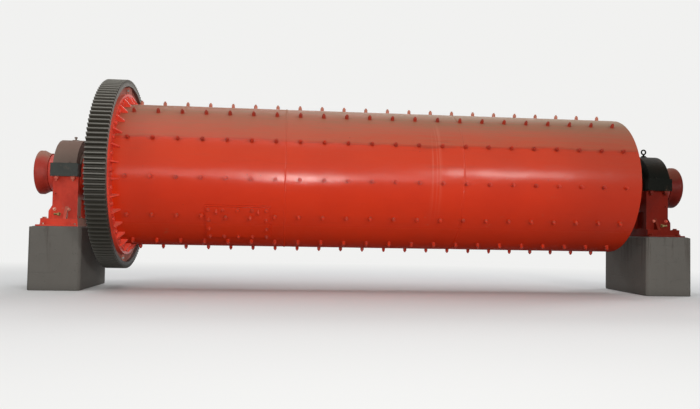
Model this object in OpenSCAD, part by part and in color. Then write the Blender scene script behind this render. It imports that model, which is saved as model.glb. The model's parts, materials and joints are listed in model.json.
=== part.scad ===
// Horizontal ball mill: a steel drum that turns in two pedestal bearings.
// Units are millimetres. X runs along the drum, Y across it and Z up.
// The origin is at ground level, under the middle of the drum.

/* [Drum shell] */
// Inside diameter of the shell
shell_bore = 1500; // [1300:50:1700]
// Thickness of the shell plate
shell_wall = 25; // [16:1:36]
// Length of the plate course at the drive end
drive_course = 1875; // [1600:25:2200]
// Length of the middle course
middle_course = 1875; // [1500:25:2200]
// Length of the course at the free end
free_course = 1950; // [1500:25:2200]

/* [Liner] */
// Thickness of the liner between its lifters
liner_wall = 40; // [25:1:60]
// Height of a lifter above the liner
lifter_height = 30; // [10:1:50]
// Number of lifters, one under each row of liner bolts
lifter_count = 12; // [8:1:16]
// Turn of the first lifter from the top towards the front, in degrees
lifter_turn = 5; // [0:1:30]

/* [Manhole] */
// Length of the manhole cover along the drum
cover_length = 650; // [400:10:700]
// Angle that the cover spans round the drum, in degrees
cover_angle = 30; // [20:1:40]
// Thickness of the cover
cover_wall = 16; // [10:1:25]
// Thickness of the welded pad that carries the cover
pad_wall = 12; // [8:1:20]
// Width of the bolted border round the opening
cover_border = 60; // [45:1:90]
// Distance from the drive end of the shell to the middle of the manhole
cover_setback = 1394; // [1300:1:1450]
// Turn of the manhole from the top towards the front, in degrees
cover_turn = 132; // [90:1:180]

/* [Girth gear] */
// Module of the teeth
gear_module = 16; // [14:1:18]
// Distance from the shell out to the pitch circle of the teeth
gear_standoff = 250; // [230:5:270]
// Pressure angle of the teeth, in degrees
pressure_angle = 20; // [18:1:22]
// Width of the toothed rim
gear_face = 205; // [180:5:230]
// Thickness of the rim under the tooth roots
rim_wall = 35; // [25:1:50]
// Thickness of the gear web
web_wall = 60; // [40:1:80]
// Thickness of the ribs on the outer side of the web
rib_wall = 24; // [16:1:40]
// Number of ribs on each half
ribs_per_half = 8; // [4:1:12]
// Length of the joint lugs round the split
lug_length = 60; // [40:1:80]

/* [Drive flange] */
// Width of the flange outside the shell
flange_reach = 110; // [100:5:130]
// Thickness of the flange
flange_wall = 45; // [30:1:60]
// Distance from the shell end to the outer face of the flange
flange_setback = 100; // [70:1:130]
// Number of gussets behind the flange
gusset_count = 30; // [24:1:36]
// Length of a gusset along the shell
gusset_length = 70; // [50:1:110]
// Distance from the top of a gusset to the rim of the flange
gusset_margin = 25; // [15:1:50]
// Thickness of a gusset
gusset_wall = 14; // [8:1:20]

/* [Heads and trunnions] */
// Thickness of a head
head_wall = 55; // [40:1:80]
// Distance that the rim of a head sits inside the shell end
head_setback = 15; // [10:1:30]
// Distance that the middle of a head stands out past its rim
head_dish = 70; // [40:1:110]
// Number of ribs on a head
head_ribs = 12; // [8:1:16]
// Diameter of the trunnion flange on the head
trunnion_flange_d = 660; // [600:10:720]
// Thickness of the trunnion flange
trunnion_flange_wall = 50; // [35:1:60]
// Diameter of the journal
journal_d = 400; // [380:2:420]
// Thickness of the hollow trunnion at the journal
trunnion_wall = 50; // [40:1:60]
// Length of the bare journal between the outer seal and the mouth ring
mouth_gap = 61; // [50:1:80]
// Width of the mouth ring outside the journal
mouth_flare = 40; // [35:1:50]
// Length of the mouth ring
mouth_length = 130; // [110:1:150]
// Number of bolt holes in the mouth ring
mouth_holes = 8; // [6:1:12]
// Diameter of the bolt holes in the mouth ring
mouth_hole_d = 18; // [14:1:22]
// Depth of the bolt holes in the mouth ring
mouth_hole_depth = 45; // [30:1:60]

/* [Bearings] */
// Height of the drum axis above the ground
axis_height = 1250; // [1200:10:1400]
// Distance from the shell end to the middle of the bearing
bearing_reach = 445; // [440:1:480]
// Width of the bearing cap along the drum
cap_width = 280; // [260:2:300]
// Radius of the domed cap
cap_r = 360; // [340:2:380]
// Thickness of the cap over the oil space
cap_wall = 60; // [40:1:70]
// Distance that the dome's side faces lie inside the block's
dome_step = 20; // [10:1:30]
// Distance that the cap's bolted block stands out past the dome
block_lip = 10; // [5:1:20]
// Height of the block above the axis
block_top = 77; // [60:1:90]
// Depth of the split line under the axis
split_drop = 60; // [40:1:80]
// Distance that the pedestal's side faces lie inside the cap's
pedestal_step = 10; // [5:1:15]
// Half depth of the pedestal under the block
pedestal_depth = 300; // [290:1:320]
// Thickness of the bush
bush_wall = 60; // [40:1:70]
// Distance from the end of the bush to the cap's side face
bush_margin = 40; // [30:1:50]
// Width of the seal rings outside the journal
seal_reach = 45; // [40:1:55]
// Thickness of the seal rings
seal_wall = 25; // [15:1:35]
// Radial gap between journal and bush
journal_clearance = 0.3; // [0.2:0.05:0.4]

/* [Base] */
// Thickness of the pedestal foot
foot_wall = 65; // [50:1:80]
// Distance that the foot stands out past the pedestal, away from the drum
foot_flare = 90; // [80:1:110]
// Distance that the foot stands out past the pedestal, towards the drum
foot_heel = 30; // [20:1:45]
// Distance that the foot stands out past the pedestal across the drum
foot_toe = 80; // [60:1:90]
// Thickness of the sole plate
sole_wall = 22; // [15:1:35]
// Distance that the sole plate stands out past the foot along the drum
sole_lip = 25; // [15:1:35]
// Distance that the sole plate stands out past the foot across the drum
sole_ledge = 70; // [60:1:80]
// Distance from the drum axis down to the underside of the sole plate
sole_drop = 595; // [570:1:620]
// Distance that a foundation pier stands out past the sole plate
pier_margin = 50; // [40:1:70]
// Bevel on the edges of a pier
pier_bevel = 25; // [10:1:40]

/* [Hidden] */

// Paint and metal colours
drum_colour = "orangered";
casting_colour = "firebrick";
cap_colour = "darkslategray";
gear_colour = "dimgray";
steel_colour = "silver";
bush_colour = "goldenrod";
concrete_colour = "lightgray";

// A welded or seated round fit leaves this radial gap
fit_gap = 0.2;
// A seal ring clears the turning journal by this much
seal_gap = 1;
// Housing walls clear the journal by this much
housing_gap = 5;
// A cutting solid runs past the faces that it cuts by this much
cut = 1;
$fn = 120;

shell_length = drive_course + middle_course + free_course;
shell_end = shell_length / 2;
shell_r = shell_bore / 2 + shell_wall;
axis_r = journal_d / 2;
trunnion_bore = journal_d - 2 * trunnion_wall;
mouth_d = journal_d + 2 * mouth_flare;
seal_r = axis_r + seal_reach;

// Places along the drum for the free end, mirrored for the drive end
head_rim_x = shell_end - head_setback;
head_hub_x = head_rim_x + head_dish;
journal_x = head_hub_x + trunnion_flange_wall;
bearing_x = shell_end + bearing_reach;
inner_seal_x = bearing_x - cap_width / 2 - seal_wall;
outer_seal_x = bearing_x + cap_width / 2;
mouth_seat_x = outer_seal_x + seal_wall + mouth_gap;

// Puts the children on the drum axis: their Z runs along the drum, their Y points up
module on_axis(x = 0) translate([x, 0, axis_height]) rotate([90, 0, 90]) children();

// Mirrors a piece made for the free end over to the drive end
module drive_end() mirror([1, 0, 0]) children();

// Puts the children at the middle of the free end bearing, on the drum axis
module at_bearing() translate([bearing_x, 0, axis_height]) children();

// A tube with its axis along Z
module tube(outer_r, inner_r, length) {
    difference() {
        cylinder(r = outer_r, h = length);
        translate([0, 0, -cut]) cylinder(r = inner_r, h = length + 2 * cut);
    }
}

// A solid wedge of a circle about the +Y direction, for cutting curved plates
module wedge(radius, half_angle, length) {
    side = radius / cos(half_angle);
    linear_extrude(length) polygon([
        [0, 0],
        [side * sin(half_angle), side * cos(half_angle)],
        [-side * sin(half_angle), side * cos(half_angle)]
    ]);
}

// Drum shell

cover_x = cover_setback - shell_end;
cover_arc_r = shell_r + pad_wall;
opening_length = cover_length - 2 * cover_border;
opening_half_angle = cover_angle / 2 - cover_border / cover_arc_r * 180 / PI;
opening_corner = 60;

// Turns the children to the manhole, whose middle they are made round
module at_manhole() on_axis(cover_x) rotate([0, 0, cover_turn]) children();

// The rounded opening of the manhole, as a solid that reaches out from the drum axis
module manhole_opening(grow = 0) {
    half_x = opening_length / 2 + grow;
    half_y = shell_r * sin(opening_half_angle) + grow;
    corner = opening_corner + grow;
    rotate([-90, 0, 0])
        linear_extrude(shell_r + cover_wall + pad_wall)
            union() {
                square([2 * half_y - 2 * corner, 2 * half_x], center = true);
                square([2 * half_y, 2 * half_x - 2 * corner], center = true);
                for (sx = [-1, 1], sy = [-1, 1])
                    translate([sy * (half_y - corner), sx * (half_x - corner)]) circle(r = corner);
            }
}

module shell_course(start, length) {
    color(drum_colour) difference() {
        on_axis(start) tube(shell_r, shell_bore / 2, length);
        at_manhole() manhole_opening();
    }
}

module drive_end_shell_course() shell_course(-shell_end, drive_course);

module middle_shell_course() shell_course(-shell_end + drive_course, middle_course);

module free_end_shell_course() shell_course(shell_end - free_course, free_course);

liner_r = shell_bore / 2 - fit_gap;
liner_half = head_rim_x - head_wall;
lifter_steps = 8;

// Radius of the liner face, raised in a smooth wave at each lifter
function liner_face(a) = liner_r - liner_wall - lifter_height * pow((1 + cos(a * lifter_count)) / 2, 2);

module shell_liner() {
    steps = lifter_count * lifter_steps;
    color(gear_colour) on_axis(-liner_half) difference() {
        cylinder(r = liner_r, h = 2 * liner_half);
        translate([0, 0, -cut]) rotate([0, 0, 90 + lifter_turn])
            linear_extrude(2 * (liner_half + cut)) polygon([
                for (i = [0 : steps - 1]) let (a = i * 360 / steps)
                    liner_face(a) * [cos(a), sin(a)]
            ]);
    }
}

module manhole_pad() {
    color(drum_colour) at_manhole() difference() {
        translate([0, 0, -cover_length / 2 - pad_wall]) intersection() {
            tube(shell_r + pad_wall, shell_r + fit_gap, cover_length + 2 * pad_wall);
            wedge(2 * shell_r, cover_angle / 2 + 1, cover_length + 2 * pad_wall);
        }
        manhole_opening();
    }
}

module manhole_cover() {
    inner_r = shell_r + pad_wall + fit_gap;
    color(drum_colour) at_manhole() union() {
        translate([0, 0, -cover_length / 2]) intersection() {
            tube(inner_r + cover_wall, inner_r, cover_length);
            wedge(2 * shell_r, cover_angle / 2, cover_length);
        }
        intersection() {
            manhole_opening(-housing_gap);
            translate([0, 0, -cover_length / 2]) tube(inner_r + cover_wall / 2, shell_bore / 2, cover_length);
        }
    }
}

// Girth gear

web_shift = 24;
gear_middle = -shell_end + flange_setback - web_wall / 2 - web_shift;
// Each half has whole teeth, so the number of teeth is even
gear_teeth = 2 * round((shell_r + gear_standoff) / gear_module);
pitch_r = gear_module * gear_teeth / 2;
tip_r = pitch_r + gear_module;
root_r = pitch_r - 1.25 * gear_module;
base_r = pitch_r * cos(pressure_angle);
rim_inner_r = root_r - rim_wall;
gear_bore_r = shell_r + 10;
flange_r = shell_r + flange_reach;
fillet = 15;
flank_steps = 3;

// Involute function of an angle in degrees, also in degrees
function involute(a) = tan(a) * 180 / PI - a;

// Half the angle that a tooth fills at radius r
function half_tooth(r) = 90 / gear_teeth + involute(pressure_angle) - involute(acos(min(1, base_r / r)));

// One tooth about the direction a, from its right root to its left root
function tooth(a) = let (
        radii = [for (i = [0 : flank_steps]) max(base_r, root_r) + (tip_r - max(base_r, root_r)) * i / flank_steps]
    ) concat(
        [root_r * [cos(a - half_tooth(radii[0])), sin(a - half_tooth(radii[0]))]],
        [for (r = radii) r * [cos(a - half_tooth(r)), sin(a - half_tooth(r))]],
        [for (i = [flank_steps : -1 : 0]) let (r = radii[i]) r * [cos(a + half_tooth(r)), sin(a + half_tooth(r))]],
        [root_r * [cos(a + half_tooth(radii[0])), sin(a + half_tooth(radii[0]))]]
    );

// Outline of the toothed half disc above its split line
function half_gear_outline() = concat(
    [[root_r, 0]],
    [for (k = [0 : gear_teeth / 2 - 1]) each tooth((k + 0.5) * 360 / gear_teeth)],
    [[-root_r, 0]]
);

// One half of the gear: rim, web, ribs and joint lugs, made above its split line.
// Its Z starts at the outer face of the rim and points at the flange.
module gear_half() {
    web_z = (gear_face - web_wall) / 2 + web_shift;
    web_end = web_z + web_wall;
    rib_z = 20;
    ring_space = rim_inner_r - flange_r;
    difference() {
        linear_extrude(gear_face) polygon(half_gear_outline());
        translate([0, 0, -cut]) cylinder(r = rim_inner_r, h = gear_face + 2 * cut);
    }
    // The web, filleted where it meets the rim
    intersection() {
        rotate_extrude() polygon([
            [gear_bore_r, web_z],
            [rim_inner_r - fillet, web_z],
            [rim_inner_r, web_z - fillet],
            [rim_inner_r + cut, web_z - fillet],
            [rim_inner_r + cut, web_end + fillet],
            [rim_inner_r, web_end + fillet],
            [rim_inner_r - fillet, web_end],
            [gear_bore_r, web_end]
        ]);
        translate([-tip_r, 0, 0]) cube([2 * tip_r, tip_r, gear_face]);
    }
    for (k = [0 : ribs_per_half - 1])
        rotate([0, 0, (k + 0.5) * 180 / ribs_per_half])
            translate([flange_r, -rib_wall / 2, rib_z])
                cube([ring_space + cut, rib_wall, web_z - rib_z + cut]);
    // Two lugs at each end of the split line, one on either side of the web
    for (s = [-1, 1])
        translate([s > 0 ? flange_r : -flange_r - ring_space - cut, 0, rib_z])
            cube([ring_space + cut, lug_length, gear_face - 2 * rib_z]);
}

module girth_gear_front_half() {
    color(gear_colour) on_axis(gear_middle - gear_face / 2) rotate([0, 0, 90]) gear_half();
}

module girth_gear_back_half() {
    color(gear_colour) on_axis(gear_middle - gear_face / 2) rotate([0, 0, -90]) gear_half();
}

// Drive flange and its gussets

module drive_flange() {
    gusset_root = shell_r + fit_gap;
    gusset_top = flange_r - gusset_margin;
    toe = 12;
    first_turn = 1.5;
    color(drum_colour) on_axis(-shell_end + flange_setback) union() {
        tube(flange_r, gusset_root, flange_wall);
        for (k = [0 : gusset_count - 1])
            rotate([0, 0, 90 + first_turn + k * 360 / gusset_count])
                rotate([90, 0, 0]) translate([0, 0, -gusset_wall / 2])
                    linear_extrude(gusset_wall) polygon([
                        [gusset_root, flange_wall - cut],
                        [gusset_top, flange_wall - cut],
                        [gusset_top, flange_wall + toe],
                        [gusset_root + toe, flange_wall + gusset_length],
                        [gusset_root, flange_wall + gusset_length]
                    ]);
    }
}

// Heads and trunnions, made for the free end

spigot_r = axis_r + 10;
collar_r = trunnion_flange_d / 2;

module head() {
    rim_r = shell_bore / 2 - fit_gap;
    rib_toe_r = rim_r - 30;
    rib_seat_r = collar_r + 10;
    dish_r = collar_r + 20;
    color(drum_colour) on_axis(0) union() {
        rotate_extrude() polygon([
            [spigot_r + fit_gap, head_hub_x - head_wall],
            [spigot_r + fit_gap, head_hub_x],
            [dish_r, head_hub_x],
            [rim_r, head_rim_x],
            [rim_r, head_rim_x - head_wall],
            [dish_r, head_hub_x - head_wall]
        ]);
        for (k = [0 : head_ribs - 1])
            rotate([0, 0, (k + 0.5) * 360 / head_ribs])
                rotate([90, 0, 0]) translate([0, 0, -rib_wall / 2])
                    linear_extrude(rib_wall) polygon([
                        [rib_seat_r, head_hub_x - head_wall / 2],
                        [rib_seat_r, head_hub_x + trunnion_flange_wall],
                        [dish_r, head_hub_x + trunnion_flange_wall],
                        [rib_toe_r, head_rim_x],
                        [rib_toe_r, head_rim_x - head_wall / 2]
                    ]);
    }
}

module trunnion() {
    neck_r = axis_r + 60;
    neck_margin = 35;
    neck_end = inner_seal_x - neck_margin;
    color(steel_colour) on_axis(0) rotate_extrude() polygon([
        [trunnion_bore / 2, head_hub_x - head_wall],
        [spigot_r, head_hub_x - head_wall],
        [spigot_r, head_hub_x],
        [collar_r, head_hub_x],
        [collar_r, journal_x],
        [neck_r, journal_x],
        [axis_r, neck_end],
        [axis_r, mouth_seat_x],
        [trunnion_bore / 2, mouth_seat_x]
    ]);
}

module mouth_ring() {
    rim = 40;
    bolt_r = (mouth_d + trunnion_bore) / 4;
    color(casting_colour) on_axis(mouth_seat_x) difference() {
        rotate_extrude() polygon([
            [trunnion_bore / 2, 0],
            [axis_r + 10, 0],
            [axis_r + 10, 30],
            [mouth_d / 2, mouth_length - rim],
            [mouth_d / 2, mouth_length - 4],
            [mouth_d / 2 - 4, mouth_length],
            [trunnion_bore / 2, mouth_length]
        ]);
        for (k = [0 : mouth_holes - 1])
            rotate([0, 0, (k + 0.5) * 360 / mouth_holes])
                translate([bolt_r, 0, mouth_length - mouth_hole_depth])
                    cylinder(d = mouth_hole_d, h = mouth_hole_depth + cut);
    }
}

module drive_end_head() drive_end() head();

module free_end_head() head();

module drive_end_trunnion() drive_end() trunnion();

module free_end_trunnion() trunnion();

module drive_end_mouth_ring() drive_end() mouth_ring();

module free_end_mouth_ring() mouth_ring();

// Bearings, made for the free end

seat_r = axis_r + journal_clearance + bush_wall;
bush_width = cap_width - 2 * bush_margin;
block_depth = cap_r + block_lip;
pedestal_width = cap_width - 2 * pedestal_step;

// A round bar along the drum about the bearing middle
module bar(radius, width) translate([-width / 2, 0, 0]) rotate([0, 90, 0]) cylinder(r = radius, h = width);

// Cuts everything above or below the split line
module below_split() {
    intersection() {
        children();
        translate([-cap_width, -2 * cap_r, -split_drop - 4 * cap_r]) cube([2 * cap_width, 4 * cap_r, 4 * cap_r]);
    }
}

module bush() {
    color(bush_colour) at_bearing() below_split() difference() {
        bar(seat_r - fit_gap, bush_width);
        bar(axis_r + journal_clearance, bush_width + 2 * cut);
    }
}

foot_top = -sole_drop + sole_wall + foot_wall;
// The foot from its heel on the drum's side to its outer edge
foot_start = -pedestal_width / 2 - foot_heel;
foot_width = pedestal_width + foot_heel + foot_flare;
foot_depth = pedestal_depth + foot_toe;
sole_start = foot_start - sole_lip;
sole_width = foot_width + 2 * sole_lip;
sole_depth = foot_depth + sole_ledge;
// Height of the flat boss on the crown of the cap
crown_boss = 4;
// The bosses that carry the seal rings are this much wider than them
seal_margin = 8;

module pedestal() {
    body_height = -split_drop - foot_top;
    boss_r = seal_r + seal_margin;
    rib_top = -seal_r - 20;
    side_rib = 40;
    // The side ribs step out from the pedestal above the foot, away from the drum
    rib_step = 43;
    rib_step_low = foot_top + 80;
    rib_step_high = foot_top + 152;
    front_rib = 30;
    front_rib_x = -35;
    front_rib_top = foot_top + 130;
    pocket_depth = 45;
    pocket_floor = foot_top + 10;
    color(casting_colour) at_bearing() difference() {
        union() {
            translate([-pedestal_width / 2, -pedestal_depth, foot_top - cut])
                cube([pedestal_width, 2 * pedestal_depth, body_height + cut]);
            translate([foot_start, -foot_depth, foot_top - foot_wall])
                cube([foot_width, 2 * foot_depth, foot_wall]);
            // Side ribs from the bearing down to the foot
            for (y = [-1, 0, 1])
                translate([0, y * (pedestal_depth - side_rib) + side_rib / 2, 0])
                    rotate([90, 0, 0]) linear_extrude(side_rib) polygon([
                        [-pedestal_width / 2, foot_top - cut],
                        [pedestal_width / 2 + rib_step, foot_top - cut],
                        [pedestal_width / 2 + rib_step, rib_step_low],
                        [pedestal_width / 2, rib_step_high],
                        [pedestal_width / 2, rib_top],
                        [-pedestal_width / 2, rib_top]
                    ]);
            // Front and back ribs, on the drum's side of the drain plug
            translate([front_rib_x, 0, 0]) rotate([90, 0, 90]) linear_extrude(front_rib) polygon([
                [cut - foot_depth, foot_top - cut],
                [foot_depth - cut, foot_top - cut],
                [pedestal_depth, front_rib_top],
                [-pedestal_depth, front_rib_top]
            ]);
            below_split() bar(boss_r, cap_width);
        }
        bar(seat_r, bush_width + 2 * fit_gap);
        bar(axis_r + housing_gap, cap_width + 2 * cut);
        // Cast pockets between the side ribs
        for (sx = [-1, 1], sy = [-1, 1])
            translate([
                sx * (pedestal_width / 2 - pocket_depth / 2) - pocket_depth / 2 - (sx < 0 ? cut : 0),
                sy * (pedestal_depth - side_rib) / 2 - (pedestal_depth - 2 * side_rib) / 2,
                pocket_floor
            ])
                cube([pocket_depth + cut, pedestal_depth - 2 * side_rib, -seat_r - side_rib - pocket_floor]);
    }
}

module bearing_cap() {
    cavity_r = cap_r - cap_wall;
    cavity_width = bush_width - 10;
    boss_r = 38;
    color(cap_colour) at_bearing() difference() {
        union() {
            // The dome, and a round boss that carries the seal rings
            intersection() {
                union() {
                    bar(cap_r, cap_width - 2 * dome_step);
                    bar(seal_r + seal_margin, cap_width);
                }
                translate([-cap_width, -2 * cap_r, 0]) cube([2 * cap_width, 4 * cap_r, 2 * cap_r]);
            }
            translate([-cap_width / 2, -block_depth, -split_drop])
                cube([cap_width, 2 * block_depth, block_top + split_drop]);
            translate([0, 0, cap_r - cap_wall / 3]) cylinder(r = boss_r, h = cap_wall / 3 + crown_boss);
        }
        bar(cavity_r, cavity_width);
        bar(axis_r + housing_gap, cap_width + 2 * cut);
        // Below the axis the oil space and the journal slot run straight down to the split
        translate([-cavity_width / 2, -cavity_r, -split_drop - cut])
            cube([cavity_width, 2 * cavity_r, split_drop + cut]);
        translate([-cap_width / 2 - cut, -axis_r - housing_gap, -split_drop - cut])
            cube([cap_width + 2 * cut, 2 * (axis_r + housing_gap), split_drop + cut]);
    }
}

// The seal ring on one face of the housing, 1 for the outer face and -1 for the inner
module seal_ring(face) {
    start = face > 0 ? outer_seal_x : inner_seal_x;
    color(casting_colour) on_axis(start) tube(seal_r, axis_r + seal_gap, seal_wall);
}

module eye_bolt() {
    ring_r = 26;
    wire_r = 8.5;
    eye_collar_r = 27;
    collar_height = 12;
    shank = 34;
    color(cap_colour) at_bearing() translate([0, 0, cap_r + crown_boss]) union() {
        cylinder(r = eye_collar_r, h = collar_height);
        cylinder(r = wire_r + 3, h = shank);
        translate([0, 0, shank - 2 + ring_r]) rotate([90, 0, 0])
            rotate_extrude() translate([ring_r, 0]) circle(r = wire_r, $fn = 32);
    }
}

// A mushroom-shaped air vent on the crown of the cap
module breather() {
    color(cap_colour) at_bearing() translate([0, 0, cap_r + crown_boss]) rotate_extrude() polygon([
        [0, 0], [14, 0], [14, 6], [8, 8], [8, 20], [17, 22], [17, 30], [13, 36], [0, 37]
    ]);
}

module sole_plate() {
    color(casting_colour) at_bearing() translate([sole_start, -sole_depth, -sole_drop])
        cube([sole_width, 2 * sole_depth, sole_wall]);
}

module pier() {
    x = sole_width / 2 + pier_margin;
    y = sole_depth + pier_margin;
    b = pier_bevel;
    color(concrete_colour) translate([bearing_x + sole_start + sole_width / 2, 0, 0])
        linear_extrude(axis_height - sole_drop) polygon([
            [x - b, -y], [x, b - y], [x, y - b], [x - b, y],
            [b - x, y], [-x, y - b], [-x, b - y], [b - x, -y]
        ]);
}

module drive_end_pier() drive_end() pier();

module drive_end_sole_plate() drive_end() sole_plate();

module drive_end_pedestal() drive_end() pedestal();

module drive_end_bush() drive_end() bush();

module drive_end_bearing_cap() drive_end() bearing_cap();

module drive_end_inner_seal() drive_end() seal_ring(-1);

module drive_end_outer_seal() drive_end() seal_ring(1);

module drive_end_breather() drive_end() breather();

module free_end_pier() pier();

module free_end_sole_plate() sole_plate();

module free_end_pedestal() pedestal();

module free_end_bush() bush();

module free_end_bearing_cap() bearing_cap();

module free_end_inner_seal() seal_ring(-1);

module free_end_outer_seal() seal_ring(1);

module free_end_eye_bolt() eye_bolt();

drive_end_pier();
drive_end_sole_plate();
drive_end_pedestal();
drive_end_bush();
drive_end_bearing_cap();
drive_end_inner_seal();
drive_end_outer_seal();
drive_end_breather();
free_end_pier();
free_end_sole_plate();
free_end_pedestal();
free_end_bush();
free_end_bearing_cap();
free_end_inner_seal();
free_end_outer_seal();
free_end_eye_bolt();
drive_end_shell_course();
middle_shell_course();
free_end_shell_course();
shell_liner();
manhole_pad();
manhole_cover();
drive_flange();
girth_gear_front_half();
girth_gear_back_half();
drive_end_head();
drive_end_trunnion();
drive_end_mouth_ring();
free_end_head();
free_end_trunnion();
free_end_mouth_ring();
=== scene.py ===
"""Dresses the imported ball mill: rounded castings, plates, bolts, welds, paint, dust and wear.

Every length is in metres, in the frame's own axes: X along the drum, Y away from the camera, Z up.
"""
import json
import math
import random

import bmesh
import bpy
from mathutils import Matrix, Vector, noise


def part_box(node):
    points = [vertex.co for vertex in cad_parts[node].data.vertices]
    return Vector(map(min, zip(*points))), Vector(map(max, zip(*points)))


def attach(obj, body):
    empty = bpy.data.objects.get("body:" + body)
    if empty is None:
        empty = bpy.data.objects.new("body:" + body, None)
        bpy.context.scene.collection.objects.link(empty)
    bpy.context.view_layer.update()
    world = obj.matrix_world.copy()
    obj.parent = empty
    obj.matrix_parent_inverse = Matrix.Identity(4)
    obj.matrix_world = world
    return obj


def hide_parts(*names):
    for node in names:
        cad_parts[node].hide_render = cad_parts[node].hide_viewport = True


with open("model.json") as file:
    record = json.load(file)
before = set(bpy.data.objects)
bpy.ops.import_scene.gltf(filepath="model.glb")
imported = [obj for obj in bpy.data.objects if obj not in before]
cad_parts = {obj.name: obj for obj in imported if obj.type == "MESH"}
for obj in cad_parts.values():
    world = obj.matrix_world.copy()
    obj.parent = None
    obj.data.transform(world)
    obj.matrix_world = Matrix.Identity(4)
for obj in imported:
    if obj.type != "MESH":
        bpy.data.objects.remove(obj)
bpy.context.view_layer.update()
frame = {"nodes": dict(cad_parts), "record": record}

# The shell as the frame has it, and the thickness of its plate
shell_low, shell_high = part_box("middle_shell_course")
AXIS_Z = (shell_low.z + shell_high.z) / 2
SHELL_R = (shell_high.y - shell_low.y) / 2
SHELL_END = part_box("free_end_shell_course")[1].x
SEAMS = (shell_low.x, shell_high.x)
SHELL_WALL = 0.025

# The camera, solved from the rows of liner bolts in the photograph
CAMERA_PLACE = (-0.950, -7.668, 0.672)
CAMERA_YAW = math.radians(5.35)
CAMERA_PITCH = math.radians(2.21)
CAMERA_ROLL = math.radians(1.04)
CAMERA_LENS = 34.54
SENSOR_WIDTH = 36.0

# Liner bolts: rows round the drum, counted from the top towards the front
BOLT_ROWS = 12
BOLTS_IN_ROW = 22
BOLT_PITCH = 0.25
FIRST_BOLT_X = -2.576
FIRST_ROW_TURN = math.radians(5.1)

# The manhole cover: its place round the drum and how far it stands out
cover_low, cover_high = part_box("manhole_cover")
MANHOLE_X = (cover_low.x + cover_high.x) / 2
COVER_LENGTH = cover_high.x - cover_low.x
MANHOLE_TURN = math.radians(132)
COVER_HALF_ANGLE = math.radians(15)
COVER_TOP_R = SHELL_R + 0.0282

# The drive flange, its face towards the drum and the gussets that stand on that face
flange_low, flange_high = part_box("drive_flange")
FLANGE_FACE = flange_low.x + 0.045
FLANGE_R = (flange_high.y - flange_low.y) / 2
GUSSETS = 30

# The journal is painted past the outer seal
PAINT_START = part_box("free_end_outer_seal")[1].x + 0.004

# The top of the bolted block from which a bearing cap's dome rises
BLOCK_TOP = AXIS_Z + 0.077

# The length of one scale of a weld bead
WELD_SCALE = 0.011

# Where dust has run down the drum in drips
SPILL_X = 0.59

# Colours in linear light, most as they would be on a paint card; some are made darker or paler as painted
# shade and painted light
ORANGE_RED = (0.60, 0.032, 0.006, 1)
DEEP_RED = (0.44, 0.020, 0.006, 1)
# Painted shade at the drum's free end
FREE_END_SHADE_RED = (0.26, 0.020, 0.008, 1)
SHADED_RED = (0.19, 0.012, 0.005, 1)
# Oil and painted bolt shadows on the drum
OIL_AND_SHADOW_RED = (0.155, 0.022, 0.010, 1)
CASTING_RED = (0.62, 0.042, 0.016, 1)
PRIMER_RED = (0.20, 0.042, 0.028, 1)
BROWN_GRIME_AND_SHADE = (0.10, 0.030, 0.018, 1)
DARK_IRON = (0.028, 0.025, 0.021, 1)
DUST = (0.25, 0.145, 0.085, 1)
PALE_DUST = (0.40, 0.29, 0.21, 1)
TAN_DUST = (0.34, 0.20, 0.14, 1)
# Dust and a painted highlight on the drive end's cap dome
DOME_DUST_AND_HIGHLIGHT = (0.215, 0.138, 0.108, 1)
# Pale dust with painted light on the drive end pedestal's drum side
SPLASH_DUST_AND_LIGHT = (0.72, 0.54, 0.45, 1)
GREY_DUST = (0.26, 0.24, 0.21, 1)
DRIP_PINK = (0.66, 0.26, 0.18, 1)
BARE_STEEL = (0.42, 0.42, 0.41, 1)
GREASE = (0.035, 0.030, 0.024, 1)
RUST = (0.16, 0.055, 0.022, 1)
GEAR_DARK = (0.046, 0.043, 0.034, 1)
GEAR_BRIGHT = (0.185, 0.18, 0.162, 1)
GEAR_WORN = (0.115, 0.11, 0.097, 1)
GEAR_FACE = (0.26, 0.25, 0.225, 1)
# Grease and painted shade on the gear's lower part
GEAR_GREASE_AND_SHADE = (0.018, 0.017, 0.013, 1)
GEAR_DUST = (0.135, 0.125, 0.10, 1)
# The web's red is pale with dust and painted light
WEB_RED = (0.46, 0.17, 0.13, 1)
WEB_SHADE = (0.33, 0.12, 0.09, 1)
CONCRETE = (0.115, 0.107, 0.095, 1)
BACKDROP = (0.88, 0.88, 0.87, 1)


# Node graphs for the materials

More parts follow.
